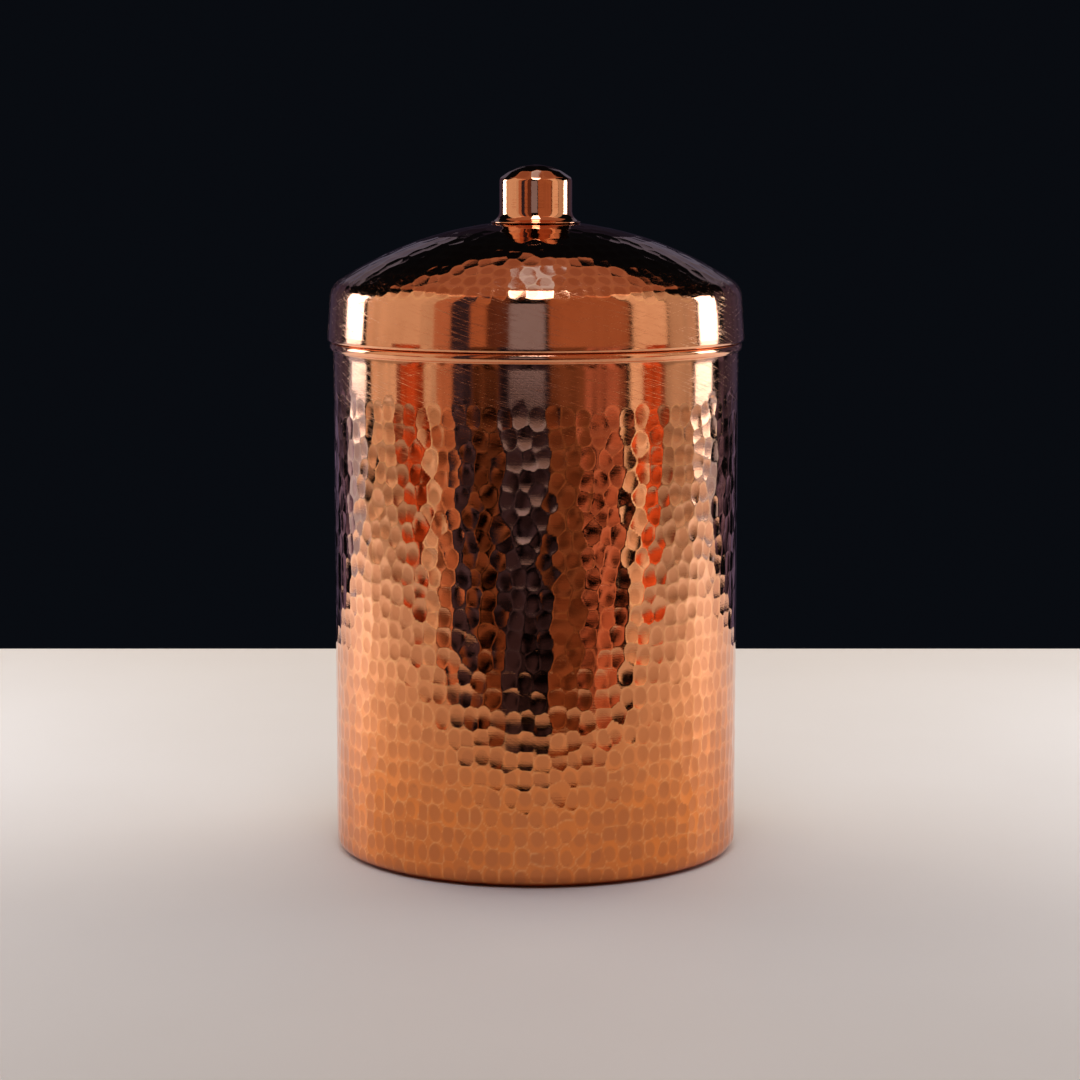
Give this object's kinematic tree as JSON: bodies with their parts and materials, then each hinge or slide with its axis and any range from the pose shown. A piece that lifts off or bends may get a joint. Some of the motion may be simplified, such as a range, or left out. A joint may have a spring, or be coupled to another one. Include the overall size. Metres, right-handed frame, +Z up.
{
  "type": "lidded copper canister",
  "caption": "Round hammered copper canister with a raised stop bead and a slip-on domed lid lifted by a small turned knob.",
  "frame": {"origin": "middle of the flat base, on the surface that the canister stands on", "axes": "+Z up along the canister's axis, through the knob; the shape is round, so X and Y are free"},
  "size_m": [0.1698, 0.1698, 0.28],
  "materials": {
    "body_copper": "hammered and polished copper",
    "lid_copper": "polished copper, hammered on the dome",
    "knob_copper": "polished copper, hammered on the top",
    "brass": "turned brass",
    "steel": "plain stainless steel"
  },
  "bodies": {
    "canister": {"canister_body": "body_copper"},
    "lid": {"lid_shell": "lid_copper", "knob_shell": "knob_copper", "knob_core": "brass", "knob_screw": "steel", "flat_washer": "steel", "spring_washer": "steel"}
  },
  "joints": [
    {"name": "lid_lift", "type": "slide", "parent": "canister", "child": "lid", "axis": [0, 0, 1], "range_m": [0, 0.08]}
  ]
}
